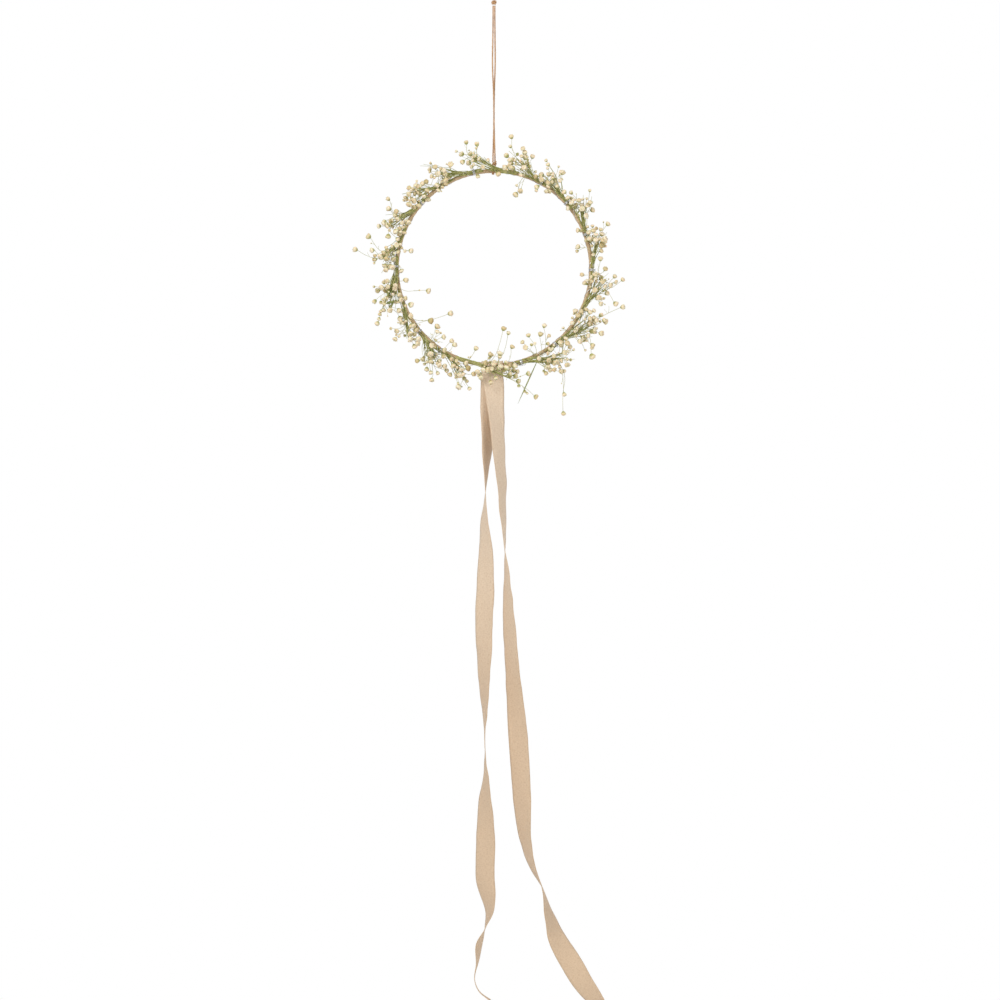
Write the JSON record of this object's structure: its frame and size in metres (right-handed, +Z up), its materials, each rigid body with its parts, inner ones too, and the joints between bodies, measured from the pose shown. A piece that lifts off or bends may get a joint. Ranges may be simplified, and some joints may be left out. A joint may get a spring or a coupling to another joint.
{
  "type": "hanging flower wreath",
  "caption": "Round hoop of dried gypsophila bunches on a jute twine hanger, with two long twisted linen ribbon tails; the hoop also fits a head as a flower crown.",
  "frame": {"origin": "where a hook bears inside the hanging eye", "axes": "+Z up along the twine; the front of the wreath, where the flowers are, faces -Y; +X is to the right seen from the front"},
  "size_m": [0.2803, 0.0407, 1.0596],
  "materials": {
    "dried_stem": "matt, fibrous",
    "dried_flower": "matt, papery",
    "dried_leaf": "matt, papery",
    "steel_wire": "drawn",
    "silver_wire": "bright drawn",
    "paper_tape": "matt crepe paper",
    "jute_twine": "twisted fibre",
    "linen_ribbon": "woven linen"
  },
  "bodies": {
    "eye": {"hanging_eye_loop": "jute_twine"},
    "knot": {"twine_top_knot": "jute_twine"},
    "hanger": {"twine_leg_left": "jute_twine", "twine_leg_right": "jute_twine"},
    "hitch": {"twine_hitch": "jute_twine"},
    "wreath": {"binding_wire": "silver_wire", "ring_core_wire": "steel_wire", "ring_paper_tape": "paper_tape", "sprig_01_heads": "dried_flower", "sprig_01_stems": "dried_stem", "sprig_02_heads": "dried_flower", "sprig_02_stems": "dried_stem", "sprig_03_heads": "dried_flower", "sprig_03_stems": "dried_stem", "sprig_04_heads": "dried_flower", "sprig_04_stems": "dried_stem", "sprig_05_heads": "dried_flower", "sprig_05_stems": "dried_stem", "sprig_06_heads": "dried_flower", "sprig_06_stems": "dried_stem", "sprig_07_heads": "dried_flower", "sprig_07_stems": "dried_stem", "sprig_08_heads": "dried_flower", "sprig_08_stems": "dried_stem", "sprig_09_heads": "dried_flower", "sprig_09_stems": "dried_stem", "sprig_10_heads": "dried_flower", "sprig_10_stems": "dried_stem", "sprig_11_heads": "dried_flower", "sprig_11_stems": "dried_stem", "sprig_12_heads": "dried_flower", "sprig_12_stems": "dried_stem", "sprig_13_heads": "dried_flower", "sprig_13_stems": "dried_stem", "sprig_14_heads": "dried_flower", "sprig_14_stems": "dried_stem", "sprig_15_heads": "dried_flower", "sprig_15_stems": "dried_stem", "sprig_16_heads": "dried_flower", "sprig_16_stems": "dried_stem", "sprig_17_heads": "dried_flower", "sprig_17_stems": "dried_stem", "sprig_leaves": "dried_leaf", "stray_heads": "dried_flower"},
    "ribbon": {"ribbon_fold": "linen_ribbon"},
    "tail_left": {"ribbon_tail_left": "linen_ribbon"},
    "tail_right": {"ribbon_tail_right": "linen_ribbon"}
  },
  "joints": [
    {"name": "swing_forward_back", "type": "hinge", "parent": "eye", "child": "knot", "pos_m": [0, 0, -0.024], "axis": [1, 0, 0], "range_deg": [-25, 25]},
    {"name": "swing_sideways", "type": "hinge", "parent": "knot", "child": "hanger", "pos_m": [0, 0, -0.024], "axis": [0, 1, 0], "range_deg": [-25, 25]},
    {"name": "wreath_turn", "type": "hinge", "parent": "hanger", "child": "hitch", "pos_m": [0, 0, -0.1975], "axis": [0, 0, 1], "range_deg": [-120, 120]},
    {"name": "wreath_tilt", "type": "hinge", "parent": "hitch", "child": "wreath", "pos_m": [0, 0, -0.1975], "axis": [1, 0, 0], "range_deg": [-25, 25]},
    {"name": "ribbon_swing", "type": "hinge", "parent": "wreath", "child": "ribbon", "pos_m": [0, 0, -0.3975], "axis": [1, 0, 0], "range_deg": [-20, 30]},
    {"name": "tail_left_swing", "type": "hinge", "parent": "ribbon", "child": "tail_left", "pos_m": [-0.0017, 0.003, -0.4095], "axis": [0, 1, 0], "range_deg": [0, 20]},
    {"name": "tail_right_swing", "type": "hinge", "parent": "ribbon", "child": "tail_right", "pos_m": [-0.0017, -0.003, -0.4095], "axis": [0, -1, 0], "range_deg": [0, 20]}
  ]
}
